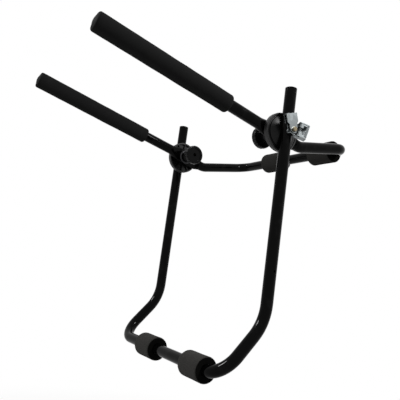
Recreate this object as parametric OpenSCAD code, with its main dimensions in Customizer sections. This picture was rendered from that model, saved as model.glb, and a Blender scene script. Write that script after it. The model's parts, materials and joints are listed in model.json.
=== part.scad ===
// Trunk mounted bike rack: a lower frame, an upper frame and two folding carrying arms, clamped at two hubs.
// X runs along the hub axis, +Y points to the car, +Z runs up the uprights. Millimetres.
// The origin is the middle of the lower bar.

/* [Tube] */
// Outside diameter of all frame and arm tubes
tube_d = 25.4; // [22:0.1:26]
// Wall of the tubes
tube_wall = 2; // [1.2:0.1:2.2]

/* [Lower frame] */
// Distance between the axes of the two uprights
upright_span = 454; // [440:1:500]
// Height of the uprights above the hub axis
upright_top = 95; // [75:1:140]
// Distance from the hub axis down to the corner of the upright's bend
upright_drop = 398; // [380:1:460]
// Length of the lower leg from that corner to the axis of the lower bar
lower_leg = 138.5; // [120:0.5:170]
// Angle of the lower leg from the upright's line, away from the car
lower_leg_angle = 40.7; // [30:0.1:50]
// Bend radius of the uprights at the tube's centreline
upright_bend_r = 100; // [70:1:120]
// Corner radius of the lower bar at the tube's centreline
lower_corner_r = 50; // [40:1:56]
// Diameter of the drain hole in each upright
drain_d = 5; // [3:0.5:8]
// Distance of the drain hole below the hub axis
drain_drop = 295; // [200:1:320]
// Height of the domed end plugs above the tube
plug_crown = 3; // [2:0.5:5]
// Depth of the end plugs inside the tube
plug_depth = 14; // [8:1:25]

/* [Upper frame] */
// Length of the leg from the hub axis to its first bend
leg_root = 67; // [67:0.5:90]
// Fall of that first length, as an angle below the horizontal
leg_root_fall = 12; // [4:0.5:13]
// Length of the leg from its first bend to the axis of the upper bar
leg_reach = 152.7; // [120:0.1:200]
// Rise of that second length, as an angle above the horizontal
leg_rise = 12.6; // [5:0.1:14]
// Radius of the leg's first bend at the tube's centreline
leg_bend_r = 45; // [40:1:50]
// Corner radius of the upper bar at the tube's centreline
upper_corner_r = 34; // [30:1:36]

/* [Flattened tube ends] */
// Thickness of a tube end pressed flat
flat_t = 5; // [4.6:0.1:6]
// Flat length of the upper frame's ends, from the hub axis
leg_flat = 40; // [38:0.5:41]
// Length over which the upper frame's ends swell from flat to round
leg_taper = 16; // [14:0.5:17]
// Flat length of the arms' ends, from the hub axis
arm_flat = 24; // [22:1:28]
// Length over which the arms' ends swell from flat to round
arm_taper = 30; // [26:1:40]

/* [Arms] */
// Length of the arm tubes from the hub axis
arm_length = 440; // [380:1:520]
// Rise of the arms above the horizontal
arm_rise = 11.5; // [5:0.5:20]
// Distance of the foam grip's near end from the hub axis
grip_start = 134; // [90:1:180]
// Outside diameter of the foam grips
grip_d = 39; // [36:0.5:41]
// Rounding of the foam grips' edges
grip_edge_r = 4.5; // [1:0.5:5]
// Height of the domed arm caps beyond the tube
cap_crown = 3; // [2:0.5:5]

/* [Foam rollers] */
// Outside diameter of the foam rollers on the lower and upper bars
roller_d = 53; // [46:0.5:60]
// Length of each foam roller
roller_l = 68; // [50:1:70]
// Rounding of the foam rollers' edges
roller_edge_r = 2.5; // [1:0.5:6]
// Place of the lower left roller along its bar, as a share of the span of the uprights
lower_left = -0.143; // [-0.28:0.001:-0.11]
// Place of the lower right roller along its bar, as a share of that span
lower_right = 0.313; // [0.11:0.001:0.313]
// Place of the upper left roller along its bar, as a share of that span
upper_left = -0.119; // [-0.26:0.001:-0.1]
// Place of the upper right roller along its bar, as a share of that span
upper_right = 0.28; // [0.1:0.001:0.282]

/* [Hub] */
// Diameter of the domed hubs
dome_d = 85; // [76:1:86]
// Thickness of the hub between the upright and the stack of tube ends
dome_web = 10.8; // [10:0.1:13]
// Width of the hub's rim
dome_rim = 11; // [8:0.5:12]
// Chamfer on the two edges of that rim
dome_edge = 1.2; // [0.5:0.1:2]
// Diameter of the crown that stands on the rim
crown_d = 70; // [62:1:72]
// Height of the wall round that crown
crown_wall = 2; // [1:0.5:3]
// Height of the dome over that wall
dome_crown = 8; // [6:0.5:12]
// Width of the groove round that wall
crown_groove = 3; // [2:0.5:4]
// Wall of the hub's rim round the recess in its inner face
dome_rim_wall = 4; // [3:0.5:6]
// Depth of the recess in the hub's inner face
dome_recess = 5; // [3:0.5:6]
// Number of ribs in that recess
dome_ribs = 12; // [8:1:20]
// Thickness of those ribs
dome_rib_t = 2; // [1.5:0.1:3]
// Thickness of the toothed friction ring
ring_t = 2.5; // [2:0.1:4]
// Number of teeth on the friction ring
ring_teeth = 24; // [12:1:32]
// Depth of the gaps between those teeth
tooth_depth = 0.8; // [0.4:0.1:1.2]
// Width of the gaps between those teeth
tooth_gap = 1.2; // [0.8:0.1:1.4]

/* [Clamp bolts and knobs] */
// Diameter of the clamp bolts
bolt_d = 6; // [5:0.5:8]
// Width across the flats of the bolt heads and nuts
hex_af = 10; // [9:0.5:13]
// Height of the bolt heads
bolt_head = 4; // [3:0.1:5.3]
// Height of the nuts in the knobs
nut_h = 5; // [4:0.1:6.5]
// Diameter of the washers under the knobs
washer_d = 38; // [24:1:40]
// Diameter of those washers at the knobs
washer_top_d = 33; // [20:1:36]
// Thickness of those washers
washer_t = 4; // [3:0.1:5]
// Height of the washers' straight edge under the cone
washer_edge = 1.5; // [1:0.1:2]
// Diameter of the knobs' heads
knob_d = 51; // [45:1:56]
// Thickness of the knobs' heads
knob_head = 13; // [10:0.5:18]
// Diameter of the knobs' necks at the nut
knob_neck_d = 32; // [28:1:36]
// Diameter of the knobs' waists
knob_waist_d = 26; // [20:1:28]
// Length of the knobs' necks
knob_neck = 33; // [28:1:36]
// Length of the full neck round the nut
knob_collar = 10; // [9:0.5:12]
// Number of finger flutes round a knob's head
knob_flutes = 20; // [12:1:24]
// Depth of those flutes
flute_depth = 1; // [0.5:0.1:1.5]
// Rounding of the knobs' edges
knob_edge_r = 3; // [1:0.5:4]
// Diameter of the dished face on a knob
knob_dish_d = 36; // [28:1:36]
// Depth of that dish
knob_dish = 1.5; // [1:0.1:3]
// Diameter of the hole in a knob's face
knob_hole_d = 9; // [8.5:0.5:12]
// Depth of that hole from the face
knob_hole = 17; // [8:0.5:22]
// Length of the bolt's tip that stands in that hole
bolt_tip = 2; // [1:0.5:4]

/* [Strap loops] */
// Thickness of the loops' and buckles' sheet steel
sheet_t = 2; // [1.5:0.1:2.2]
// Tilt of the loop, its top away from the car
loop_tilt = 20; // [0:1:25]
// Gap between the two leaves of the strap loop
loop_gap = 5; // [4.8:0.1:6]
// Width of the strap loop at its top
loop_w = 29; // [22:0.1:30]
// Width of the strap loop at the bolt
loop_low_w = 20; // [18:0.1:20]
// Width of the loop's round lower end under the bolt
loop_end_d = 16.4; // [15:0.1:16.4]
// Height of the loop's inside above the bolt's axis
loop_h = 32; // [28:0.5:34]
// Height at which the loop starts to widen
loop_step = 11; // [10:0.5:14]

/* [Cam buckles] */
// Tilt of the buckle, its top towards the car
buckle_tilt = 15; // [5:1:18]
// Length of the flat seat from the bolt's axis away from the car
seat_back = 8.5; // [8:0.5:10]
// Length of the flat seat from the bolt's axis to the bend
seat_front = 10; // [10:0.5:13]
// Height of the lip along the seat's lower edge
lip_h = 7; // [4:0.5:8]
// Outward turn of the channel behind the bend
channel_turn = 24; // [18:1:26]
// Length of the channel
channel_l = 25.5; // [25:0.5:28]
// Width of the channel over its cheeks
channel_w = 32; // [31:0.5:33]
// Height of the channel's middle above the bolt's axis
channel_lift = 5.5; // [5:0.5:5.5]
// Height of the cheeks over the channel's floor
cheek_h = 13; // [12.5:0.5:14]
// Distance from the bend to the near edge of the cheeks
cheek_start = 2; // [2:0.5:3]
// Corner cut of the seat and the cheeks
cheek_cut = 3; // [2:0.5:4]
// Diameter of the cam's pin
pin_d = 4; // [3:0.5:4.5]
// Height of the cam's pin over the channel's floor
pin_lift = 8; // [7.5:0.1:8.5]
// Distance of the cam's pin from the channel's bend
pin_along = 8; // [8:0.5:10]
// Thickness of the pin's two riveted heads
pin_head = 1.2; // [0.8:0.1:2]
// Diameter of the pin's riveted heads
pin_head_d = 6.5; // [6:0.1:8]
// Radius of the lever's barrel round the pin
barrel_r = 4.4; // [4.2:0.1:5]
// Radius of the cam's gripping edge
cam_r = 5; // [4.8:0.1:5.2]
// Offset of the cam's gripping edge from the pin
cam_offset = 2; // [1:0.1:2]
// Number of teeth on the cam
cam_teeth = 5; // [3:1:6]
// Height of those teeth
cam_tooth = 0.6; // [0.3:0.1:0.6]
// Thickness of the lever's plate
lever_t = 2; // [1.5:0.1:2.2]
// Length of the lever from the pin to its thumb tab
lever_l = 11.5; // [11.5:0.5:14]
// Length of the thumb tab
tab_l = 6; // [6:0.5:10]
// Outward turn of the thumb tab
tab_turn = 14; // [0:1:25]
// Width of the rails beside and between the lever's two windows
lever_rail = 3; // [2.5:0.5:4]
// Length of the lever's two windows
window_l = 6.5; // [4:0.5:6.5]
// Diameter of the spring's wire
spring_wire = 0.9; // [0.7:0.1:1]
// Number of turns of the spring
spring_turns = 4; // [3:1:5]
// Rise of each turn of the spring
spring_pitch = 1.5; // [1.4:0.1:1.6]

/* [Clearances] */
// Gap between faces that turn on each other at the hubs
stack_play = 0.2; // [0.1:0.05:0.4]
// Radial gap round the clamp bolts and the cam pins
pin_fit = 0.1; // [0.05:0.01:0.1]
// Radial gap of foam, caps and plugs on the tubes
tube_fit = 0.1; // [0.05:0.01:0.2]
// Gap between the lever and the cheeks
lever_play = 0.6; // [0.3:0.1:1]

/* [Hidden] */
$fn = 64;

// Overlap that makes cuts and joins clean
bite = 1;
// Step in diameter that keeps a bend inside the straight tube that it runs into
seam = 0.1;
// Step in size that keeps a swelling end inside the flat and the round tube at its two ends
swell_step = 1;
// Number of sides on the swelling tube ends
taper_sides = 48;
tube_r = tube_d / 2;
tube_bore = tube_d - 2 * tube_wall;
// A tube pressed flat keeps its girth
flat_w = (PI * tube_d - (PI - 2) * flat_t) / 2;

// Frames
upright_x = upright_span / 2;
hub_y = lower_leg * sin(lower_leg_angle);
bend_z = lower_leg * cos(lower_leg_angle);
hub_z = bend_z + upright_drop;

// Stack at a hub, from the upright inwards
dome_face = upright_x - tube_r - dome_web;
leg_x = dome_face - ring_t - stack_play - flat_t / 2;
arm_x = leg_x - flat_t - stack_play;
washer_x = arm_x - flat_t / 2 - stack_play;
knob_x = washer_x - washer_t - stack_play;
knob_l = knob_neck + knob_head;
bolt_tip_x = knob_x - knob_l + knob_hole - bolt_tip;
bolt_hole = bolt_d + 2 * pin_fit;

// Stack outside the upright
seat_x = upright_x + tube_r + stack_play;
leaf_x = seat_x + sheet_t + stack_play;
outer_leaf_x = leaf_x + sheet_t + loop_gap;
bolt_head_x = outer_leaf_x + sheet_t + stack_play;
hex_d = hex_af / cos(30);

// Upper frame, from the hub axis
leg_start = leg_flat + leg_taper;
leg_knee = leg_root * [0, cos(leg_root_fall), -sin(leg_root_fall)];
bar_place = leg_knee + leg_reach * [0, cos(leg_rise), sin(leg_rise)];

// Buckle
loop_top = loop_h + sheet_t;
lever_w = channel_w - 2 * sheet_t - 2 * lever_play;
spring_r = pin_d / 2 + pin_fit + spring_wire;
spring_l = spring_turns * spring_pitch;
spring_room = spring_l + 4 * spring_wire;
spring_rings = 8;
spring_sides = 6;

function unit(v) = v / norm(v);
function across(z) = unit(cross(z, abs(z.x) < 0.9 ? [1, 0, 0] : [0, 1, 0]));
function heading(path, i) = unit(path[i + 1] - path[i]);
function turn(path, i) = acos(heading(path, i - 1) * heading(path, i));
function is_corner(path, i) = i > 0 && i < len(path) - 1;
// Length that a bend takes from the two straight runs beside it
function trim(path, radii, i) = is_corner(path, i) ? radii[i - 1] * tan(turn(path, i) / 2) : 0;

// Puts its children in the frame with the origin p and the axes x, y and z
module placed(p, x, y, z) {
  multmatrix([[x.x, y.x, z.x, p.x], [x.y, y.y, z.y, p.y], [x.z, y.z, z.z, p.z], [0, 0, 0, 1]])
    children();
}

module straight_rod(a, b, d) {
  z = unit(b - a);
  x = across(z);
  placed(a, x, cross(z, x), z)
    cylinder(d = d, h = norm(b - a));
}

module bend_rod(path, radii, i, d) {
  a = heading(path, i - 1);
  b = heading(path, i);
  r = radii[i - 1];
  n = unit(b - (a * b) * a);
  start = path[i] - trim(path, radii, i) * a;
  placed(start + r * n, -n, a, cross(-n, a))
    rotate_extrude(angle = turn(path, i))
      translate([r, 0])
        circle(d = d - seam);
}

// Place where a straight run meets the bend at a corner, half a bite inside that bend
function run_end(path, radii, i) = is_corner(path, i) ? trim(path, radii, i) - bite / 2 : 0;

// A round rod along the corners of a path, with a bend of its own radius at each inner corner
module bent_rod(path, radii, d) {
  last = len(path) - 1;
  for (i = [0:last - 1]) {
    h = heading(path, i);
    straight_rod(path[i] + run_end(path, radii, i) * h, path[i + 1] - run_end(path, radii, i + 1) * h, d);
  }
  for (i = [1:last - 1])
    bend_rod(path, radii, i, d);
}

// A bent tube, open at both ends
module bent_tube(path, radii) {
  last = len(path) - 1;
  bore_path = [for (i = [0:last]) path[i]
    - (i == 0 ? bite * heading(path, 0) : [0, 0, 0])
    + (i == last ? bite * heading(path, last - 1) : [0, 0, 0])];
  difference() {
    bent_rod(path, radii, tube_d);
    bent_rod(bore_path, radii, tube_bore);
  }
}

// The right side is drawn, and the left side is its mirror image
module on_side(side) {
  mirror([side < 0 ? 1 : 0, 0, 0])
    children();
}

// The hub axis, turned about itself
module at_hub(angle = 0) {
  translate([0, hub_y, hub_z])
    rotate([angle, 0, 0])
      children();
}

// A cylinder along the hub axis, from x to x + l
module axial(x, d, l) {
  translate([x, 0, 0])
    rotate([0, 90, 0])
      cylinder(d = d, h = l);
}

// A hexagon along the hub axis, from x to x + l
module axial_hex(x, d, l) {
  translate([x, 0, 0])
    rotate([0, 90, 0])
      cylinder(d = d, h = l, $fn = 6);
}

// A tube end pressed flat along Y, with a round eye on the hub axis, swelling to the round tube
module flat_end(flat, taper) {
  edge = (flat_w - flat_t) / 2;
  difference() {
    union() {
      axial(-flat_t / 2, flat_w, flat_t);
      translate([-flat_t / 2, 0, -edge])
        cube([flat_t, flat, 2 * edge]);
      for (s = [-1, 1])
        translate([0, 0, s * edge])
          rotate([-90, 0, 0])
            cylinder(d = flat_t, h = flat);
      hull() {
        for (s = [-1, 1])
          translate([0, flat - bite, s * edge])
            rotate([-90, 0, 0])
              cylinder(d = flat_t - swell_step, h = bite, $fn = taper_sides);
        translate([0, flat + taper, 0])
          rotate([-90, 0, 0])
            cylinder(d = tube_d - swell_step, h = bite, $fn = taper_sides);
      }
    }
    axial(-flat_t, bolt_hole, 2 * flat_t);
  }
}

// A foam sleeve along Z on a tube, with rounded edges
module foam_sleeve(d, l, edge) {
  difference() {
    union() {
      translate([0, 0, edge])
        cylinder(d = d, h = l - 2 * edge);
      cylinder(d = d - 2 * edge, h = l);
      for (z = [edge, l - edge])
        translate([0, 0, z])
          rotate_extrude()
            translate([d / 2 - edge, 0])
              circle(r = edge);
    }
    translate([0, 0, -bite])
      cylinder(d = tube_d + 2 * tube_fit, h = l + 2 * bite);
  }
}

// A domed head of a given diameter and crown, standing on Z = 0
module crown_head(d, crown) {
  ball_r = (d * d / 4 + crown * crown) / (2 * crown);
  intersection() {
    cylinder(d = d, h = crown);
    translate([0, 0, crown - ball_r])
      sphere(r = ball_r, $fn = 128);
  }
}

module lower_frame() {
  radii = [upright_bend_r, lower_corner_r, lower_corner_r, upright_bend_r];
  top = hub_z + upright_top;
  color("black")
    difference() {
      bent_tube([
        [-upright_x, hub_y, top], [-upright_x, hub_y, bend_z], [-upright_x, 0, 0],
        [upright_x, 0, 0], [upright_x, hub_y, bend_z], [upright_x, hub_y, top]
      ], radii);
      for (s = [-1, 1])
        on_side(s)
          at_hub() {
            axial(upright_x - tube_d, bolt_hole, 2 * tube_d);
            translate([0, 0, -drain_drop])
              axial(upright_x, drain_d, tube_d);
          }
    }
}

// A domed plug for an open tube end at Z = 0
module tube_plug(crown) {
  crown_head(tube_d, crown);
  translate([0, 0, -plug_depth])
    cylinder(d = tube_bore - 2 * tube_fit, h = plug_depth + bite);
}

module upright_plug(side) {
  color("dimgray")
    on_side(side)
      translate([upright_x, hub_y, hub_z + upright_top])
        tube_plug(plug_crown);
}

// A foam roller on a bar along X, its middle at the place p
module bar_roller(p) {
  translate(p - [roller_l / 2, 0, 0])
    rotate([0, 90, 0])
      foam_sleeve(roller_d, roller_l, roller_edge_r);
}

module lower_roller(share) {
  color("darkslategray")
    bar_roller([share * upright_span, 0, 0]);
}

module upper_roller(share) {
  color("darkslategray")
    at_hub()
      bar_roller(bar_place + [share * upright_span, 0, 0]);
}

module upper_frame() {
  start = leg_start * unit(leg_knee);
  side = [leg_x, 0, 0];
  color("black")
    at_hub() {
      bent_tube([
        start - side, leg_knee - side, bar_place - side,
        bar_place + side, leg_knee + side, start + side
      ], [leg_bend_r, upper_corner_r, upper_corner_r, leg_bend_r]);
      for (s = [-1, 1])
        translate(s * side)
          rotate([-leg_root_fall, 0, 0])
            flat_end(leg_flat, leg_taper);
    }
}

// The line of an arm: +Y runs out from the hub axis
module on_arm(side) {
  on_side(side)
    at_hub(180 - arm_rise)
      translate([arm_x, 0, 0])
        children();
}

module arm(side) {
  color("black")
    on_arm(side) {
      bent_tube([[0, arm_flat + arm_taper, 0], [0, arm_length, 0]], []);
      flat_end(arm_flat, arm_taper);
    }
}

module grip(side) {
  color("black")
    on_arm(side)
      translate([0, grip_start, 0])
        rotate([-90, 0, 0])
          foam_sleeve(grip_d, arm_length - grip_start, grip_edge_r);
}

module arm_cap(side) {
  color("dimgray")
    on_arm(side)
      translate([0, arm_length, 0])
        rotate([-90, 0, 0])
          tube_plug(cap_crown);
}

// A hub's solid form on Z = 0: a chamfered rim, and a domed crown inside a groove
module hub_form() {
  top = dome_rim + crown_wall + dome_crown;
  ball_r = (crown_d * crown_d / 4 + dome_crown * dome_crown) / (2 * dome_crown);
  cone_h = dome_rim + 2 * bite;
  cone_d = dome_d - 2 * (dome_edge + bite);
  difference() {
    union() {
      intersection() {
        cylinder(d = dome_d, h = dome_rim);
        translate([0, 0, -bite])
          cylinder(d1 = cone_d, d2 = cone_d + 2 * cone_h, h = cone_h);
        translate([0, 0, -bite])
          cylinder(d1 = cone_d + 2 * cone_h, d2 = cone_d, h = cone_h);
      }
      intersection() {
        translate([0, 0, bite])
          cylinder(d = crown_d, h = top);
        translate([0, 0, top - ball_r])
          sphere(r = ball_r, $fn = 128);
      }
    }
    translate([0, 0, dome_rim])
      rotate_extrude()
        translate([(crown_d + crown_groove) / 2, 0])
          circle(d = crown_groove, $fn = 32);
  }
}

// A domed moulding that seats the upright in a saddle, with a ribbed recess in its inner face
module hub_dome(side) {
  boss_d = flat_w;
  recess_d = dome_d - 2 * dome_rim_wall;
  color("black")
    on_side(side)
      at_hub()
        difference() {
          translate([dome_face, 0, 0])
            rotate([0, 90, 0]) {
              difference() {
                hub_form();
                translate([0, 0, -bite])
                  difference() {
                    cylinder(d = recess_d, h = dome_recess + bite);
                    cylinder(d = boss_d, h = dome_recess + bite);
                  }
              }
              for (i = [0:dome_ribs - 1])
                rotate([0, 0, i * 360 / dome_ribs])
                  translate([boss_d / 2 - bite, -dome_rib_t / 2, stack_play])
                    cube([(recess_d - boss_d) / 2 + 2 * bite, dome_rib_t, dome_recess]);
            }
          axial(dome_face - bite, bolt_hole, dome_web + 2 * bite + tube_r);
          translate([upright_x, 0, -dome_d])
            cylinder(d = tube_d + 2 * tube_fit, h = 2 * dome_d);
        }
}

// A ring with a toothed face that bites on the upper frame's flat end
module friction_ring(side) {
  color("gray")
    on_side(side)
      at_hub()
        difference() {
          axial(dome_face - ring_t, flat_w, ring_t);
          axial(dome_face - 2 * ring_t, bolt_hole, 4 * ring_t);
          for (i = [0:ring_teeth - 1])
            rotate([i * 360 / ring_teeth, 0, 0])
              translate([dome_face - ring_t - bite, -tooth_gap / 2, flat_w / 4])
                cube([tooth_depth + bite, tooth_gap, flat_w / 2]);
        }
}

module clamp_bolt(side) {
  color("goldenrod")
    on_side(side)
      at_hub() {
        axial(bolt_tip_x, bolt_d, bolt_head_x - bolt_tip_x + bite);
        rotate([loop_tilt, 0, 0])
          intersection() {
            axial_hex(bolt_head_x, hex_d, bolt_head);
            translate([bolt_head_x - bite, 0, 0])
              rotate([0, 90, 0])
                cylinder(d1 = hex_d + 4 * bolt_head, d2 = hex_af - 2 * bite, h = bolt_head + bite);
          }
      }
}

// A thick washer that narrows to the knob's neck
module clamp_washer(side) {
  color("silver")
    on_side(side)
      at_hub()
        difference() {
          translate([washer_x, 0, 0])
            rotate([0, -90, 0]) {
              cylinder(d = washer_d, h = washer_edge);
              translate([0, 0, washer_edge])
                cylinder(d1 = washer_d, d2 = washer_top_d, h = washer_t - washer_edge);
            }
          axial(washer_x - 2 * washer_t, bolt_hole, 4 * washer_t);
        }
}

// A turned knob: a fluted head on a long neck, with a pocket for its nut
module knob(side) {
  head_r = knob_d / 2;
  color("black")
    on_side(side)
      at_hub()
        translate([knob_x, 0, 0])
          rotate([0, -90, 0])
            difference() {
              union() {
                cylinder(d = knob_neck_d, h = knob_collar);
                translate([0, 0, knob_collar])
                  cylinder(d1 = knob_neck_d, d2 = knob_waist_d, h = knob_neck_d - knob_waist_d);
                cylinder(d = knob_waist_d, h = knob_l - knob_head / 2);
                translate([0, 0, knob_neck + knob_edge_r])
                  cylinder(r = head_r, h = knob_head - 2 * knob_edge_r);
                translate([0, 0, knob_neck])
                  cylinder(r = head_r - knob_edge_r, h = knob_head);
                for (z = [knob_neck + knob_edge_r, knob_l - knob_edge_r])
                  translate([0, 0, z])
                    rotate_extrude()
                      translate([head_r - knob_edge_r, 0])
                        circle(r = knob_edge_r);
              }
              translate([0, 0, -bite])
                cylinder(d = bolt_hole, h = knob_l + 2 * bite);
              translate([0, 0, -bite])
                cylinder(d = hex_d + 2 * pin_fit, h = nut_h + pin_fit + bite, $fn = 6);
              translate([0, 0, knob_l - knob_dish])
                cylinder(d = knob_dish_d, h = knob_dish + bite);
              translate([0, 0, knob_l - knob_hole])
                cylinder(d = knob_hole_d, h = knob_hole + bite);
              for (i = [0:knob_flutes - 1])
                rotate([0, 0, i * 360 / knob_flutes])
                  translate([head_r + knob_edge_r - flute_depth, 0, knob_neck - bite])
                    cylinder(r = knob_edge_r, h = knob_head + 2 * bite);
            }
}

module knob_nut(side) {
  color("silver")
    on_side(side)
      at_hub()
        difference() {
          axial_hex(knob_x - nut_h, hex_d, nut_h);
          axial(knob_x - 2 * nut_h, bolt_hole, 4 * nut_h);
        }
}

// The strap loop's own lines: X out from the upright, Z up the loop
module on_loop(side) {
  on_side(side)
    at_hub(loop_tilt)
      children();
}

// The buckle's own lines: X out from the upright, Y along the strap, Z across it
module on_buckle(side) {
  on_side(side)
    at_hub(-buckle_tilt)
      children();
}

// The channel behind the bend: its floor is at X = 0, and Y runs along it
module on_channel(side) {
  on_buckle(side)
    translate([seat_x, seat_front, channel_lift])
      rotate([0, 0, -channel_turn])
        translate([sheet_t, 0, 0])
          children();
}

// A flat outline in Y and Z, from x to x + l
module sheet(x, l) {
  translate([x, 0, 0])
    rotate([90, 0, 90])
      linear_extrude(l)
        children();
}

module leaf_outline() {
  widen = (loop_w - loop_low_w) / 2;
  low = (loop_low_w - loop_end_d) / 2;
  circle(d = loop_end_d);
  polygon([
    [-loop_end_d / 2, 0], [loop_end_d / 2, 0], [loop_low_w / 2, 2 * low], [loop_low_w / 2, loop_step],
    [loop_w / 2, loop_step + widen], [loop_w / 2, loop_top], [-loop_w / 2, loop_top],
    [-loop_w / 2, loop_step + widen], [-loop_low_w / 2, loop_step], [-loop_low_w / 2, 2 * low]
  ]);
}

// Sheet steel folded over at the top: the strap runs through between its two leaves
module strap_loop(side) {
  color("lightgray")
    on_loop(side)
      difference() {
        union() {
          for (x = [leaf_x, outer_leaf_x])
            sheet(x, sheet_t)
              leaf_outline();
          translate([leaf_x, -loop_w / 2, loop_h])
            cube([2 * sheet_t + loop_gap, loop_w, sheet_t]);
        }
        axial(leaf_x - bite, bolt_hole, 2 * sheet_t + loop_gap + 2 * bite);
      }
}

// A sleeve on the bolt that keeps the loop's leaves apart
module loop_spacer(side) {
  color("silver")
    on_loop(side)
      difference() {
        axial(leaf_x + sheet_t, hex_af, loop_gap);
        axial(leaf_x, bolt_hole, loop_gap + 2 * sheet_t);
      }
}

// The buckle's flat seat on the bolt
module seat_outline() {
  low = channel_lift - channel_w / 2;
  high = channel_lift + channel_w / 2;
  polygon([
    [seat_front, low], [seat_front, high], [cheek_cut - seat_back, high], [-seat_back, high - cheek_cut],
    [-seat_back, low + cheek_cut], [cheek_cut - seat_back, low]
  ]);
}

// A cheek of the channel, seen along the cam's pin
module cheek_outline() {
  polygon([
    [-sheet_t, cheek_start], [cheek_h - cheek_cut, cheek_start], [cheek_h, cheek_start + cheek_cut],
    [cheek_h, channel_l - cheek_cut], [cheek_h - cheek_cut, channel_l], [-sheet_t, channel_l]
  ]);
}

// Folded sheet steel: a seat on the bolt with a lip, and a channel with two cheeks that carry the cam's pin
module buckle_body(side) {
  color("lightgray")
    difference() {
      union() {
        on_buckle(side) {
          sheet(seat_x, sheet_t)
            seat_outline();
          translate([seat_x, cheek_cut - seat_back, channel_lift - channel_w / 2])
            cube([sheet_t + lip_h, seat_front - cheek_cut + seat_back, sheet_t]);
        }
        on_channel(side) {
          translate([-sheet_t, 0, -channel_w / 2])
            cube([sheet_t, channel_l, channel_w]);
          for (z = [-channel_w / 2, channel_w / 2 - sheet_t])
            translate([0, 0, z])
              linear_extrude(sheet_t)
                cheek_outline();
        }
      }
      on_buckle(side)
        axial(seat_x - bite, bolt_hole, sheet_t + 2 * bite);
      on_channel(side)
        translate([pin_lift, pin_along, -channel_w])
          cylinder(d = pin_d + 2 * pin_fit, h = 2 * channel_w);
    }
}

// The lever seen along its pin: barrel, toothed cam, plate and thumb tab
module lever_profile() {
  translate([pin_lift, pin_along]) {
    circle(r = barrel_r);
    translate([-cam_offset, 0])
      circle(r = cam_r);
    for (i = [0:cam_teeth - 1])
      translate([-cam_offset, 0])
        rotate(180 + 60 * (i / (cam_teeth - 1)))
          polygon([[cam_r - cam_tooth, -cam_tooth], [cam_r + cam_tooth, 0], [cam_r - cam_tooth, cam_tooth]]);
    translate([barrel_r - lever_t, 0])
      square([lever_t, lever_l]);
    translate([barrel_r - lever_t, lever_l])
      rotate(-tab_turn) {
        square([lever_t, tab_l - lever_t / 2]);
        translate([lever_t / 2, tab_l - lever_t / 2])
          circle(d = lever_t);
      }
    translate([barrel_r - lever_t / 2, lever_l])
      circle(d = lever_t);
  }
}

module cam_lever(side) {
  window_w = (lever_w - 3 * lever_rail) / 2;
  color("silver")
    on_channel(side)
      difference() {
        translate([0, 0, -lever_w / 2])
          linear_extrude(lever_w)
            lever_profile();
        translate([pin_lift, pin_along, -lever_w])
          cylinder(d = pin_d + 2 * pin_fit, h = 2 * lever_w);
        translate([pin_lift, pin_along, -spring_room / 2])
          cylinder(r = barrel_r + cam_offset + cam_r, h = spring_room);
        for (z = [-window_w - lever_rail / 2, lever_rail / 2])
          translate([pin_lift, pin_along + lever_l - window_l, z])
            cube([2 * barrel_r, window_l, window_w]);
      }
}

module cam_pin(side) {
  color("silver")
    on_channel(side)
      translate([pin_lift, pin_along, 0]) {
        translate([0, 0, -channel_w / 2 - pin_head])
          cylinder(d = pin_d, h = channel_w + 2 * pin_head);
        for (z = [-channel_w / 2 - pin_head, channel_w / 2])
          translate([0, 0, z])
            cylinder(d = pin_head_d, h = pin_head);
      }
}

// The spring's wire: a helix round the pin that ends in a straight tail along each tangent
spring_steps = spring_turns * spring_rings;
spring_angles = [for (i = [0:spring_steps]) i * 360 / spring_rings];
function spring_point(a) = [spring_r * cos(a), spring_r * sin(a), spring_pitch * a / 360 - spring_l / 2];
function spring_out(a) = [cos(a), sin(a), 0];
function spring_along(a) = unit([-sin(a) * 2 * PI * spring_r, cos(a) * 2 * PI * spring_r, spring_pitch]);
function spring_ring(p, a) = [for (k = [0:spring_sides - 1])
  p + spring_wire / 2 * (cos(k * 360 / spring_sides) * spring_out(a)
    + sin(k * 360 / spring_sides) * cross(spring_along(a), spring_out(a)))];
spring_gap = min([for (i = [0:spring_steps - spring_rings])
  norm(spring_point(spring_angles[i + spring_rings]) - spring_point(spring_angles[i]))]) - spring_wire;
echo(str("least gap between the spring's turns: ", spring_gap, " mm"));

module cam_spring(side) {
  last = spring_angles[spring_steps];
  rings = concat(
    [spring_ring(spring_point(0) - spring_wire * spring_along(0), 0)],
    [for (a = spring_angles) spring_ring(spring_point(a), a)],
    [spring_ring(spring_point(last) + spring_wire * spring_along(last), last)]);
  n = spring_sides;
  top = len(rings) - 1;
  color("silver")
    on_channel(side)
      translate([pin_lift, pin_along, 0])
        polyhedron(
          points = [for (r = rings) each r],
          faces = concat(
            [for (k = [1:n - 2]) [0, k, k + 1]],
            [for (i = [0:top - 1], k = [0:n - 1]) [i * n + k, (i + 1) * n + k, i * n + (k + 1) % n]],
            [for (i = [0:top - 1], k = [0:n - 1])
              [i * n + (k + 1) % n, (i + 1) * n + k, (i + 1) * n + (k + 1) % n]],
            [for (k = [1:n - 2]) [top * n, top * n + k + 1, top * n + k]]));
}

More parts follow.
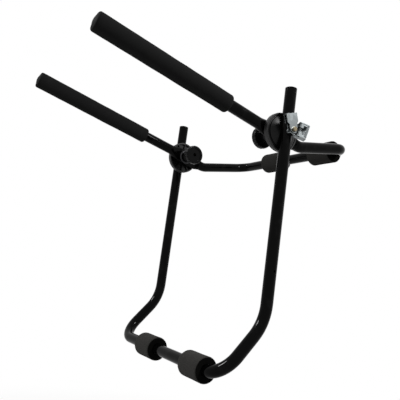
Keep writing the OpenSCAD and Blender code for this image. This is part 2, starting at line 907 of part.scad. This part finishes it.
lower_frame();
upright_plug(-1);  // upright_plug_left
upright_plug(1);  // upright_plug_right
lower_roller(lower_left);  // lower_roller_left
lower_roller(lower_right);  // lower_roller_right
upper_frame();
upper_roller(upper_left);  // upper_roller_left
upper_roller(upper_right);  // upper_roller_right
arm(-1);  // arm_left
arm(1);  // arm_right
grip(-1);  // grip_left
grip(1);  // grip_right
arm_cap(-1);  // arm_cap_left
arm_cap(1);  // arm_cap_right
hub_dome(-1);  // hub_dome_left
hub_dome(1);  // hub_dome_right
friction_ring(-1);  // friction_ring_left
friction_ring(1);  // friction_ring_right
clamp_bolt(-1);  // clamp_bolt_left
clamp_bolt(1);  // clamp_bolt_right
clamp_washer(-1);  // clamp_washer_left
clamp_washer(1);  // clamp_washer_right
knob(-1);  // knob_left
knob(1);  // knob_right
knob_nut(-1);  // knob_nut_left
knob_nut(1);  // knob_nut_right
strap_loop(-1);  // strap_loop_left
strap_loop(1);  // strap_loop_right
loop_spacer(-1);  // loop_spacer_left
loop_spacer(1);  // loop_spacer_right
buckle_body(-1);  // buckle_body_left
buckle_body(1);  // buckle_body_right
cam_lever(-1);  // cam_lever_left
cam_lever(1);  // cam_lever_right
cam_pin(-1);  // cam_pin_left
cam_pin(1);  // cam_pin_right
cam_spring(-1);  // cam_spring_left
cam_spring(1);  // cam_spring_right
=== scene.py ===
"""Looks of a trunk mounted bike rack: foam sleeves, painted tube, plastic and plated steel."""

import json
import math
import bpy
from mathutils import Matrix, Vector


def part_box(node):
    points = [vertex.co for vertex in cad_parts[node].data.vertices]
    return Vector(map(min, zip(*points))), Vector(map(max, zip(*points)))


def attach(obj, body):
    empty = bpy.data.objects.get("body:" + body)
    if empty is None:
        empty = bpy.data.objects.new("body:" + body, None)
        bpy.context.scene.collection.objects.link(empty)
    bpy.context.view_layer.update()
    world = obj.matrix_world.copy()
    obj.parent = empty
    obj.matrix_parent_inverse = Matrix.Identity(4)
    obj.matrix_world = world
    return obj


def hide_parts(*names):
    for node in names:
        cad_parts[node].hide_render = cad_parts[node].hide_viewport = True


bl_info = {
    "name": "Trunk Bike Rack",
    "version": (1, 0, 0),
    "blender": (4, 5, 0),
    "location": "View3D > Sidebar > Bike Rack",
    "description": "Dresses a trunk mounted bike rack with foam, paint, plastic and plated steel",
    "category": "Object",
}

import bpy
from mathutils import Matrix, Vector

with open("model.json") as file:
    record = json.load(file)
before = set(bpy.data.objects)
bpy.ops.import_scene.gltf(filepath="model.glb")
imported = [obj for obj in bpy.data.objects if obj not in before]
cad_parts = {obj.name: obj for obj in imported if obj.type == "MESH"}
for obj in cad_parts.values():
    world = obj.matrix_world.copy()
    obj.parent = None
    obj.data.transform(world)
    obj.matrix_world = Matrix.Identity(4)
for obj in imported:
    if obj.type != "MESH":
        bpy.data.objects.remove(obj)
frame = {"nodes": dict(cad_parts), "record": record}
nodes = frame["nodes"]
mounts = {m["name"]: m for m in frame["record"]["mounts"]}
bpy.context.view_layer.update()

SIDES = ("left", "right")
# Each kind of roller: the body it rides on and its share of the rollers' foam colour. The upper
# rollers' smaller share is painted shade: they are drawn darker, as if less light reached them.
ROLLERS = {"lower_roller": ("frame", 1.0), "upper_roller": ("upper", 0.6)}

# Paint: how strongly rubbed patches, dust and the coarser peel show, and how rough it gets.
RUBBED_SHARE, RUBBED_TINT, RUBBED_ROUGH = 0.55, 6.0, 0.12
DUST_SHARE, DUST_COLOUR = 0.25, (0.16, 0.16, 0.16, 1.0)
COARSE_PEEL, MOTTLED_ROUGH = 0.6, 0.05

# Foam: how strongly blotches, scuffs and pits show, its roughness, and the heights of its grain.
BLOTCH_SHARE, BLOTCH_DARK, BLOTCH_LIGHT = 0.7, 0.75, 1.35
SCUFF_SHARE, SCUFF_TINT = 0.35, 2.0
# Pits: how strongly the painted shade in their hollows shows, and how dark it is.
PIT_SHARE, PIT_SHADE = 0.6, 0.35
FOAM_ROUGH, BLOTCH_ROUGH = 0.84, 0.12
CELL_HEIGHT, PIT_HEIGHT, SWELL_HEIGHT = 0.35, 0.5, 0.5
FOAM_SHINE, CUT_SHINE = 0.06, 0.02
# The ends' foam is a darker copy of the skin by these shares: painted shade on the end faces.
ROLLER_END_SHADE, GRIP_END_SHADE = 0.1, 0.4

# Plastic: how strongly clouds and scratches show, and how rough they and the mouldings are.
CLOUD_SHARE, CLOUD_DARK, CLOUD_LIGHT, CLOUD_ROUGH = 0.6, 0.8, 1.35, 0.1
SCRATCH_SHARE, SCRATCH_TINT, SCRATCH_ROUGH = 0.3, 2.6, 0.12
SATIN_ROUGH, KNOB_ROUGH, MATT_ROUGH = 0.3, 0.08, 0.62
# A hub's rim: where its painted highlight begins and is full, as shares of the radius, and how it
# shows.
RIM_FROM, RIM_FULL = 0.9, 0.97
RIM_SHARE, RIM_CLOUD = 0.6, 0.5

# Plated steel: how strongly spangle and dull patches show, and how rough they and the plate are.
SPANGLE_SHARE, SPANGLE_ROUGH, SPANGLE_HEIGHT = 0.45, 0.06, 0.4
DULL_SHARE, DULL_ROUGH = 0.4, 0.16
ZINC_ROUGH, YELLOW_ROUGH, BLACK_ROUGH = 0.24, 0.22, 0.3
ZINC_DULL_TINT, BLACK_DULL_TINT = 0.66, 0.5
YELLOW_DULL = (0.13, 0.1, 0.062)

# Shape of the foam sleeves, in metres where it is a length. A face belongs to an end when more than
# END_FACE of its normal points along the axis. An edge belongs to a rim when it lies further out than
# RIM_RADIUS of the radius, within a HAIR of an end.
SLEEVE_SIDES = 96
RIM_STEPS = 5
RING_SPACING = 0.006
LEAST_RINGS = 6
WAVE_LENGTH = 0.035
SMOOTH_ANGLE = math.radians(50)
END_FACE = 0.9
RIM_RADIUS = 0.98
HAIR = 1e-5

# Stage. A lamp has a place, a point that it looks at, a size and a power.
LAMPS = {
    "high": ((1.54, 0.70, 1.61), (0.1, 0.1, 0.4), 0.6, 46),
    "side": ((-1.6, -3.2, 2.7), (0.1, 0, 0.15), 0.9, 160),
}
SEEN_RAYS = ("Is Camera Ray", "Is Glossy Ray", "Is Transmission Ray")
WHITE = (1, 1, 1, 1)
WHITE_STRENGTH, WORLD_STRENGTH = 1.0, 0.12
FLOOR_SIZE = 16
FLOOR_GREY = (0.65, 0.65, 0.65, 1)
# Share of plain white in the floor under the rack, and where it grows to all white.
FLOOR_WHITE, FADE_FROM, FADE_TO = 0.75, 0.7, 1.5
CAMERA_PLACE = (0.9892, -0.5633, 0.1804)
CAMERA_RIGHT = (0.5337, 0.8348, 0.1354)
CAMERA_AHEAD = (-0.8438, 0.5149, 0.1513)
LENS, SENSOR, CLIP_START = 43.81, 36, 0.01


class Wire:
    """An output socket of a finish, whose maths is written as plain expressions."""

    def __init__(self, finish, socket):
        self.finish = finish
        self.socket = socket

    def maths(self, operation, a, b):
        return self.finish.add("ShaderNodeMath", {"operation": operation}, {0: a, 1: b})

    def __add__(self, other):
        return self.maths("ADD", self, other)

    def __radd__(self, other):
        return self.maths("ADD", other, self)

    def __rsub__(self, other):
        return self.maths("SUBTRACT", other, self)

    def __mul__(self, other):
        return self.maths("MULTIPLY", self, other)


class Finish:
    """The node tree of one material or of the world."""

    def __init__(self, tree):
        self.tree = tree
        self.tree.nodes.clear()

    def add(self, kind, settings=None, inputs=None, output=0):
        """Adds a node: its settings first, then the values or links of its sockets."""
        node = self.tree.nodes.new(kind)
        for key, value in (settings or {}).items():
            setattr(node, key, value)
        for key, value in (inputs or {}).items():
            socket = self.find(node.inputs, key)
            if isinstance(value, Wire):
                self.tree.links.new(value.socket, socket)
            else:
                socket.default_value = value
        return Wire(self, self.find(node.outputs, output)) if node.outputs else None

    @staticmethod
    def find(sockets, key):
        """A socket by its number, its identifier or its name."""
        if isinstance(key, int):
            return sockets[key]
        for socket in sockets:
            if socket.identifier == key:
                return socket
        return sockets[key]

    def place(self):
        return self.add("ShaderNodeTexCoord", output="Object")

    def noise(self, scale, detail=2.0, roughness=0.5):
        inputs = {
            "Vector": self.place(),
            "Scale": scale,
            "Detail": detail,
            "Roughness": roughness,
        }
        return self.add("ShaderNodeTexNoise", None, inputs, "Fac")

    def cells(self, scale, output="Distance"):
        inputs = {"Vector": self.place(), "Scale": scale}
        return self.add("ShaderNodeTexVoronoi", None, inputs, output)

    def vectors(self, operation, inputs, output=0):
        return self.add("ShaderNodeVectorMath", {"operation": operation}, inputs, output)

    def ramp(self, value, low, high):
        """A value stretched so that low becomes 0 and high becomes 1."""
        return self.add(
            "ShaderNodeMapRange",
            {"interpolation_type": "SMOOTHSTEP"},
            {"Value": value, "From Min": low, "From Max": high},
        )

    def mix(self, factor, a, b):
        return self.add(
            "ShaderNodeMix",
            {"data_type": "RGBA"},
            {"Factor_Float": factor, "A_Color": a, "B_Color": b},
            "Result_Color",
        )

    def bump(self, height, strength, distance):
        inputs = {"Height": height, "Strength": strength, "Distance": distance}
        return self.add("ShaderNodeBump", None, inputs)

    def surface(self, **inputs):
        """Closes the finish with the main shader, whose sockets are named with _ for a space."""
        named = {key.replace("_", " "): value for key, value in inputs.items()}
        shader = self.add("ShaderNodeBsdfPrincipled", None, named)
        self.add("ShaderNodeOutputMaterial", None, {"Surface": shader})


def new_finish(name):
    material = bpy.data.materials.new(name)
    material.use_nodes = True
    return material, Finish(material.node_tree)


def tint(colour, share=1.0):
    """A colour made lighter or darker by a share, as four numbers."""
    return tuple(min(1.0, c * share) for c in colour[:3]) + (1.0,)


def black_paint(look):
    """Gloss black paint on steel tube: faint orange peel, rubbed patches and specks of dust."""
    material, f = new_finish("black_paint")
    rubbed = f.ramp(f.noise(scale=38.0, detail=4.0, roughness=0.65), low=0.52, high=0.72)
    specks = 1 - f.ramp(f.cells(scale=420.0), low=0.03, high=0.10)
    dust = f.ramp(f.noise(scale=12.0), low=0.5, high=0.75) * specks
    colour = f.mix(rubbed * RUBBED_SHARE, tint(look.paint), tint(look.paint, RUBBED_TINT))
    colour = f.mix(dust * DUST_SHARE, colour, DUST_COLOUR)
    peel = f.noise(scale=620.0) + f.noise(scale=150.0) * COARSE_PEEL
    mottled = f.noise(scale=90.0) * MOTTLED_ROUGH
    f.surface(
        Base_Color=colour,
        Roughness=look.paint_rough + rubbed * RUBBED_ROUGH + mottled,
        Normal=f.bump(peel, strength=0.04, distance=0.0004),
        Specular_IOR_Level=look.paint_shine,
    )
    return material


def foam(name, colour, shine=FOAM_SHINE):
    """Closed-cell foam: matt, with fine cells, soft blotches, small scuffs and pits whose hollows
    carry painted shade.
    """
    material, f = new_finish(name)
    fine = f.cells(scale=1500.0)
    pits = f.ramp(f.cells(scale=520.0), low=0.06, high=0.22)
    soft = f.noise(scale=60.0, detail=5.0, roughness=0.6)
    scuffs = f.ramp(f.noise(scale=24.0, detail=6.0, roughness=0.7), low=0.56, high=0.74)
    shade = f.mix(soft * BLOTCH_SHARE, tint(colour, BLOTCH_DARK), tint(colour, BLOTCH_LIGHT))
    shade = f.mix(scuffs * SCUFF_SHARE, shade, tint(colour, SCUFF_TINT))
    # Painted shade: the colour darkens in the pits' hollows, where the bump sinks.
    shade = f.mix((1 - pits) * PIT_SHARE, shade, tint(colour, PIT_SHADE))
    swell = f.noise(scale=240.0, detail=3.0)
    height = fine * CELL_HEIGHT + pits * PIT_HEIGHT + swell * SWELL_HEIGHT
    f.surface(
        Base_Color=shade,
        Roughness=FOAM_ROUGH + soft * BLOTCH_ROUGH,
        Normal=f.bump(height, strength=0.35, distance=0.0009),
        Specular_IOR_Level=shine,
    )
    return material


def black_plastic(name, look, rough, shine, hub=None):
    """Moulded black plastic with a fine grain and faint scratches.

    With the box of a hub, what lies round the hub's rim is painted a lighter grey: a painted
    highlight for light on the rim's side.
    """
    material, f = new_finish(name)
    grain = f.noise(scale=1300.0, detail=3.0, roughness=0.6)
    cloud = f.noise(scale=70.0, detail=4.0)
    scratch = f.ramp(f.noise(scale=34.0, detail=8.0, roughness=0.75), low=0.57, high=0.70)
    dark, light = tint(look.plastic, CLOUD_DARK), tint(look.plastic, CLOUD_LIGHT)
    colour = f.mix(cloud * CLOUD_SHARE, dark, light)
    colour = f.mix(scratch * SCRATCH_SHARE, colour, tint(look.plastic, SCRATCH_TINT))
    if hub:
        low, high = hub
        centre = (low + high) / 2
        radius = (high.z - low.z) / 2
        # Painted highlight: towards the rim the colour turns to the lighter rim grey.
        across = f.vectors("MULTIPLY", {0: f.place(), 1: (0, 1, 1)})
        away = f.vectors("DISTANCE", {0: across, 1: (0, centre.y, centre.z)}, "Value")
        lightened = f.ramp(away, radius * RIM_FROM, radius * RIM_FULL)
        colour = f.mix(lightened * (RIM_SHARE + cloud * RIM_CLOUD), colour, tint(look.scuffs))
    f.surface(
        Base_Color=colour,
        Roughness=rough + cloud * CLOUD_ROUGH + scratch * SCRATCH_ROUGH,
        Normal=f.bump(grain, strength=0.1, distance=0.0003),
        Specular_IOR_Level=shine,
    )
    return material


def plated_steel(name, colour, second, rough):
    """Plated steel: a soft spangle, rolling marks and duller patches of a second colour."""
    material, f = new_finish(name)
    spangle = f.cells(scale=260.0, output="Color")
    grey = f.add("ShaderNodeRGBToBW", None, {"Color": spangle})
    dull = f.ramp(f.noise(scale=55.0, detail=5.0, roughness=0.65), low=0.45, high=0.7)
    marks = f.noise(scale=900.0)
    shade = f.mix(grey * SPANGLE_SHARE + dull * DULL_SHARE, tint(colour), tint(second))
    f.surface(
        Base_Color=shade,
        Metallic=1.0,
        Roughness=rough + dull * DULL_ROUGH + grey * SPANGLE_ROUGH,
        Normal=f.bump(marks + grey * SPANGLE_HEIGHT, strength=0.02, distance=0.0003),
    )
    return material


def dress(material, *names):
    """Gives CAD nodes their finish."""
    for name in names:
        mesh = nodes[name].data
        mesh.materials.clear()
        mesh.materials.append(material)


def both(*stems):
    """The names of pieces that are there once on each side."""
    return [f"{stem}_{side}" for stem in stems for side in SIDES]


def select_faces(mesh, wanted):
    """In edit mode: selects the faces that pass a test and nothing else."""
    bpy.ops.mesh.select_all(action="DESELECT")
    bpy.ops.object.mode_set(mode="OBJECT")
    for polygon in mesh.polygons:
        polygon.select = wanted(polygon)
    bpy.ops.object.mode_set(mode="EDIT")


def select_edges(mesh, wanted):
    """In edit mode: selects the edges that pass a test on their two ends and nothing else."""
    bpy.ops.mesh.select_all(action="DESELECT")
    bpy.ops.object.mode_set(mode="OBJECT")
    for edge in mesh.edges:
        a, b = (mesh.vertices[i].co for i in edge.vertices)
        edge.select = wanted(a, b)
    bpy.ops.object.mode_set(mode="EDIT")


def looks_along(polygon):
    """Whether a face of a sleeve on the Z axis is part of its ends."""
    return abs(polygon.normal.z) > END_FACE


def foam_sleeve(name, centre, axis, radius, bore, length, edge, uneven, finishes):
    """A foam sleeve along an axis: bored, its rims rounded and its skin slightly uneven.

    The finishes are those of the skin and of the cut ends.
    """
    bpy.ops.object.select_all(action="DESELECT")
    bpy.ops.mesh.primitive_cylinder_add(
        vertices=SLEEVE_SIDES, radius=radius, depth=length, end_fill_type="NGON"
    )
    piece = bpy.context.object
    piece.name = piece.data.name = name
    mesh = piece.data
    bpy.ops.object.mode_set(mode="EDIT")
    bpy.ops.mesh.select_mode(type="FACE")
    select_faces(mesh, looks_along)
    bpy.ops.mesh.inset(thickness=radius - bore)
    bpy.ops.mesh.bridge_edge_loops()
    bpy.ops.mesh.select_mode(type="EDGE")

    def rim(a, b):
        outer = min(a.xy.length, b.xy.length) > radius * RIM_RADIUS
        return outer and abs(a.z + b.z) > length - HAIR

    select_edges(mesh, rim)
    bpy.ops.mesh.bevel(offset=edge, segments=RIM_STEPS, profile=0.5)
    select_edges(mesh, lambda a, b: abs(a.z - b.z) > length / 2)
    bpy.ops.mesh.subdivide(number_cuts=max(LEAST_RINGS, round(length / RING_SPACING)))
    bpy.ops.mesh.select_all(action="SELECT")
    bpy.ops.mesh.normals_make_consistent(inside=False)
    bpy.ops.object.mode_set(mode="OBJECT")
    outside = piece.vertex_groups.new(name="outside")
    skin_points = [v.index for v in mesh.vertices if v.co.xy.length > radius - edge]
    outside.add(skin_points, 1.0, "REPLACE")
    waves = bpy.data.textures.new(name + "_skin", "CLOUDS")
    waves.noise_scale = WAVE_LENGTH
    skin = piece.modifiers.new("skin", "DISPLACE")
    skin.vertex_group = outside.name
    skin.texture = waves
    skin.texture_coords = "LOCAL"
    skin.strength = uneven
    bpy.ops.object.modifier_apply(modifier=skin.name)
    bpy.data.textures.remove(waves)
    bpy.ops.object.shade_smooth_by_angle(angle=SMOOTH_ANGLE)
    for finish in finishes:
        mesh.materials.append(finish)
    # The end faces take the second finish, the darker copy that holds painted shade.
    for polygon in mesh.polygons:
        polygon.material_index = int(looks_along(polygon))
    turn = Vector((0, 0, 1)).rotation_difference(Vector(axis)).to_matrix().to_4x4()
    piece.matrix_world = Matrix.Translation(Vector(centre)) @ turn
    bpy.ops.object.transform_apply(location=True, rotation=True, scale=True)
    return piece


class RackSizes(bpy.types.PropertyGroup):
    """Sizes of the foam pieces and the floor."""

    tube_radius: bpy.props.FloatProperty(
        name="Tube radius",
        description="Outside radius of the tubes",
        default=0.0127,
        unit="LENGTH",
    )
    foam_gap: bpy.props.FloatProperty(
        name="Foam gap",
        description="Gap between foam and tube",
        default=0.00015,
        precision=5,
        unit="LENGTH",
    )
    roller_edge: bpy.props.FloatProperty(
        name="Roller edge",
        description="Rounding of the rollers' rims",
        default=0.0025,
        unit="LENGTH",
    )
    grip_edge: bpy.props.FloatProperty(
        name="Grip edge",
        description="Rounding of the grips' rims",
        default=0.0045,
        unit="LENGTH",
    )
    uneven: bpy.props.FloatProperty(
        name="Unevenness",
        description="Waviness of the foam's skin",
        default=0.0009,
        precision=5,
        unit="LENGTH",
    )
    floor_drop: bpy.props.FloatProperty(
        name="Floor drop",
        description="Depth of the floor under the rack",
        default=0.42,
        unit="LENGTH",
    )


class RackLook(bpy.types.PropertyGroup):
    """Colours and shine."""

    paint: bpy.props.FloatVectorProperty(
        name="Paint",
        description="Colour of the painted tube",
        subtype="COLOR",
        default=(0.001, 0.001, 0.001),
    )
    paint_shine: bpy.props.FloatProperty(
        name="Paint shine",
        description="Strength of the paint's reflections",
        default=0.05,
        min=0,
        max=1,
    )
    paint_rough: bpy.props.FloatProperty(
        name="Paint roughness",
        description="Least roughness of the paint",
        default=0.035,
        min=0,
        max=1,
    )
    roller_foam: bpy.props.FloatVectorProperty(
        name="Roller foam",
        description="Colour of the rollers' foam",
        subtype="COLOR",
        default=(0.0285, 0.0277, 0.0261),
    )
    grip_foam: bpy.props.FloatVectorProperty(
        name="Grip foam",
        description="Colour of the arms' foam",
        subtype="COLOR",
        default=(0.008, 0.008, 0.008),
    )
    plastic: bpy.props.FloatVectorProperty(
        name="Plastic",
        description="Colour of the plastic",
        subtype="COLOR",
        default=(0.002, 0.002, 0.0021),
    )
    plastic_shine: bpy.props.FloatProperty(
        name="Plastic shine",
        description="Strength of the plastic's reflections",
        default=0.14,
        min=0,
        max=1,
    )
    # Painted highlight: the lighter grey that stands in for light on the hubs' rims.
    scuffs: bpy.props.FloatVectorProperty(
        name="Rim light",
        description="Colour of the hubs' scuffed rims",
        subtype="COLOR",
        default=(0.036, 0.036, 0.036),
    )
    zinc: bpy.props.FloatVectorProperty(
        name="Zinc",
        description="Colour of the bright zinc plate",
        subtype="COLOR",
        default=(0.201, 0.218, 0.222),
    )
    yellow_zinc: bpy.props.FloatVectorProperty(
        name="Yellow zinc",
        description="Colour of the yellow zinc",
        subtype="COLOR",
        default=(0.2, 0.172, 0.115),
    )
    black_zinc: bpy.props.FloatVectorProperty(
        name="Black zinc",
        description="Colour of the black zinc",
        subtype="COLOR",
        default=(0.035, 0.035, 0.037),
    )


class RACK_OT_tubes(bpy.types.Operator):
    """Paints the bent tubes of the frames and the arms"""

    bl_idname = "rack.tubes"
    bl_label = "Painted tubes"

    def execute(self, context):
        paint = black_paint(context.scene.rack_look)
        dress(paint, "lower_frame", "upper_frame", *both("arm"))
        return {"FINISHED"}


class RACK_OT_rollers(bpy.types.Operator):
    """Makes the foam rollers on the lower and upper bars"""

    bl_idname = "rack.rollers"
    bl_label = "Foam rollers"

    def execute(self, context):
        size = context.scene.rack_sizes
        for stem, (body, share) in ROLLERS.items():
            # A share below 1 darkens the foam as painted shade, for rollers that get less light.
            colour = tint(context.scene.rack_look.roller_foam, share)
            skin = foam(stem + "_foam", colour)
            # The ends get a darker copy of the foam: painted shade, as if they faced away from the
            # light.
            shaded_end = foam(stem + "_foam_shaded_end", tint(colour, ROLLER_END_SHADE), CUT_SHINE)
            for node in both(stem):
                low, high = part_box(node)
                piece = foam_sleeve(
                    "foam_" + node,
                    (low + high) / 2,
                    (1, 0, 0),
                    (high.z - low.z) / 2,
                    size.tube_radius + size.foam_gap,
                    high.x - low.x,
                    size.roller_edge,
                    size.uneven,
                    (skin, shaded_end),
                )
                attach(piece, body)
                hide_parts(node)
        return {"FINISHED"}


class RACK_OT_grips(bpy.types.Operator):
    """Makes the long foam sleeves on the carrying arms"""

    bl_idname = "rack.grips"
    bl_label = "Foam grips"

    def execute(self, context):
        size = context.scene.rack_sizes
        colour = context.scene.rack_look.grip_foam
        skin = foam("grip_foam", colour)
        # The ends get a darker copy of the foam: painted shade on the end faces.
        shaded_end = foam("grip_foam_shaded_end", tint(colour, GRIP_END_SHADE))
        for side in SIDES:
            mount = mounts["arm_cradle_" + side]
            piece = foam_sleeve(
                "foam_grip_" + side,
                mount["pos_m"],
                mount["axis"],
                mount["dims"]["r_mm"] / 1000,
                size.tube_radius + size.foam_gap,
                mount["dims"]["length_mm"] / 1000 + 2 * size.grip_edge,
                size.grip_edge,
                size.uneven,
                (skin, shaded_end),
            )
            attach(piece, "carry_" + side)
            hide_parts("grip_" + side)
        return {"FINISHED"}


class RACK_OT_mouldings(bpy.types.Operator):
    """Finishes the hubs, knobs, plugs and caps as moulded plastic"""

    bl_idname = "rack.mouldings"
    bl_label = "Plastic mouldings"

    def execute(self, context):
        look = context.scene.rack_look
        shine = look.plastic_shine
        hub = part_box("hub_dome_left")
        # The satin finish holds the painted highlight round the hubs' rims.
        satin = black_plastic("black_plastic", look, SATIN_ROUGH, shine, hub)
        knob = black_plastic("knob_plastic", look, KNOB_ROUGH, shine / 2)
        matt = black_plastic("matt_plastic", look, MATT_ROUGH, shine / 3)
        dress(satin, *both("hub_dome", "friction_ring"))
        dress(knob, *both("knob"))
        dress(matt, *both("upright_plug", "arm_cap"))
        return {"FINISHED"}


class RACK_OT_hardware(bpy.types.Operator):
    """Finishes the strap loops, buckles, bolts, nuts and washers as plated steel"""

    bl_idname = "rack.hardware"
    bl_label = "Plated hardware"

    def execute(self, context):
        look = context.scene.rack_look
        dull_zinc = tint(look.zinc, ZINC_DULL_TINT)
        dull_black = tint(look.black_zinc, BLACK_DULL_TINT)
        zinc = plated_steel("zinc_steel", look.zinc, dull_zinc, ZINC_ROUGH)
        yellow = plated_steel("yellow_zinc", look.yellow_zinc, YELLOW_DULL, YELLOW_ROUGH)
        black = plated_steel("black_zinc", look.black_zinc, dull_black, BLACK_ROUGH)
        dress(zinc, *both("strap_loop", "loop_spacer", "buckle_body", "knob_nut"))
        dress(zinc, *both("cam_lever", "cam_pin", "cam_spring"))
        dress(yellow, *both("clamp_bolt"))
        dress(black, *both("clamp_washer"))
        return {"FINISHED"}


class RACK_OT_stage(bpy.types.Operator):
    """Sets the floor, the soft studio light and the camera"""

    bl_idname = "rack.stage"
    bl_label = "Stage"

    def execute(self, context):
        scene = context.scene
        scene.view_settings.view_transform = "Standard"
        self.floor(scene)
        self.world(scene)
        for name, settings in LAMPS.items():
            self.lamp(scene, name, *settings)
        self.camera(scene)
        return {"FINISHED"}

    def backdrop(self, f, light, white, share=1.0):
        """White for rays that show the backdrop or mirror it, and plain light for the others."""
        seen = f.add("ShaderNodeLightPath", output=SEEN_RAYS[0])
        for ray in SEEN_RAYS[1:]:
            seen = seen.maths("MAXIMUM", seen, f.add("ShaderNodeLightPath", output=ray))
        return f.add("ShaderNodeMixShader", None, {0: seen * share, 1: light, 2: white})

    def floor(self, scene):
        bpy.ops.object.select_all(action="DESELECT")
        place = (0, 0, -scene.rack_sizes.floor_drop)
        bpy.ops.mesh.primitive_plane_add(size=FLOOR_SIZE, location=place)
        floor = bpy.context.object
        floor.name = "floor"
        bpy.ops.object.transform_apply(location=True, rotation=True, scale=True)
        material, f = new_finish("pale_floor")
        matt = f.add("ShaderNodeBsdfDiffuse", None, {"Color": FLOOR_GREY})
        white = f.add("ShaderNodeEmission", None, {"Strength": WHITE_STRENGTH})
        away = f.vectors("LENGTH", {0: f.place()}, "Value")
        share = FLOOR_WHITE + f.ramp(away, FADE_FROM, FADE_TO) * (1 - FLOOR_WHITE)
        surface = self.backdrop(f, matt, white, share)
        f.add("ShaderNodeOutputMaterial", None, {"Surface": surface})
        floor.data.materials.append(material)

    def world(self, scene):
        scene.world = scene.world or bpy.data.worlds.new("studio")
        scene.world.use_nodes = True
        f = Finish(scene.world.node_tree)
        light, white = (
            f.add("ShaderNodeBackground", None, {"Color": WHITE, "Strength": strength})
            for strength in (WORLD_STRENGTH, WHITE_STRENGTH)
        )
        f.add("ShaderNodeOutputWorld", None, {"Surface": self.backdrop(f, light, white)})

    def lamp(self, scene, name, place, aim, size, power):
        data = bpy.data.lights.new(name, "AREA")
        data.shape = "DISK"
        data.size = size
        data.energy = power
        lamp = bpy.data.objects.new(name, data)
        scene.collection.objects.link(lamp)
        lamp.location = place
        ahead = Vector(aim) - Vector(place)
        lamp.rotation_euler = ahead.to_track_quat("-Z", "Y").to_euler()

    def camera(self, scene):
        data = bpy.data.cameras.new("camera")
        data.lens = LENS
        data.sensor_width = SENSOR
        data.clip_start = CLIP_START
        camera = bpy.data.objects.new("camera", data)
        scene.collection.objects.link(camera)
        right, ahead = Vector(CAMERA_RIGHT), Vector(CAMERA_AHEAD)
        turn = Matrix((right, right.cross(ahead), -ahead)).transposed().to_4x4()
        camera.matrix_world = Matrix.Translation(CAMERA_PLACE) @ turn
        scene.camera = camera


class RACK_PT_panel(bpy.types.Panel):
    """The rack's steps, in order, and its settings"""

    bl_idname = "RACK_PT_panel"
    bl_label = "Bike Rack"
    bl_space_type = "VIEW_3D"
    bl_region_type = "UI"
    bl_category = "Bike Rack"

    def draw(self, context):
        for step in STEPS:
            self.layout.operator(step.bl_idname)
        for group in (context.scene.rack_sizes, context.scene.rack_look):
            for key in group.bl_rna.properties.keys():
                if key not in ("rna_type", "name"):
                    self.layout.prop(group, key)


STEPS = (
    RACK_OT_tubes,
    RACK_OT_rollers,
    RACK_OT_grips,
    RACK_OT_mouldings,
    RACK_OT_hardware,
    RACK_OT_stage,
)
CLASSES = (RackSizes, RackLook, *STEPS, RACK_PT_panel)


def register():
    for cls in CLASSES:
        bpy.utils.register_class(cls)
    bpy.types.Scene.rack_sizes = bpy.props.PointerProperty(type=RackSizes)
    bpy.types.Scene.rack_look = bpy.props.PointerProperty(type=RackLook)


def unregister():
    del bpy.types.Scene.rack_look
    del bpy.types.Scene.rack_sizes
    for cls in reversed(CLASSES):
        bpy.utils.unregister_class(cls)


def main():
    register()
    bpy.ops.rack.tubes()
    bpy.ops.rack.rollers()
    bpy.ops.rack.grips()
    bpy.ops.rack.mouldings()
    bpy.ops.rack.hardware()
    bpy.ops.rack.stage()


if __name__ == "__main__":
    main()
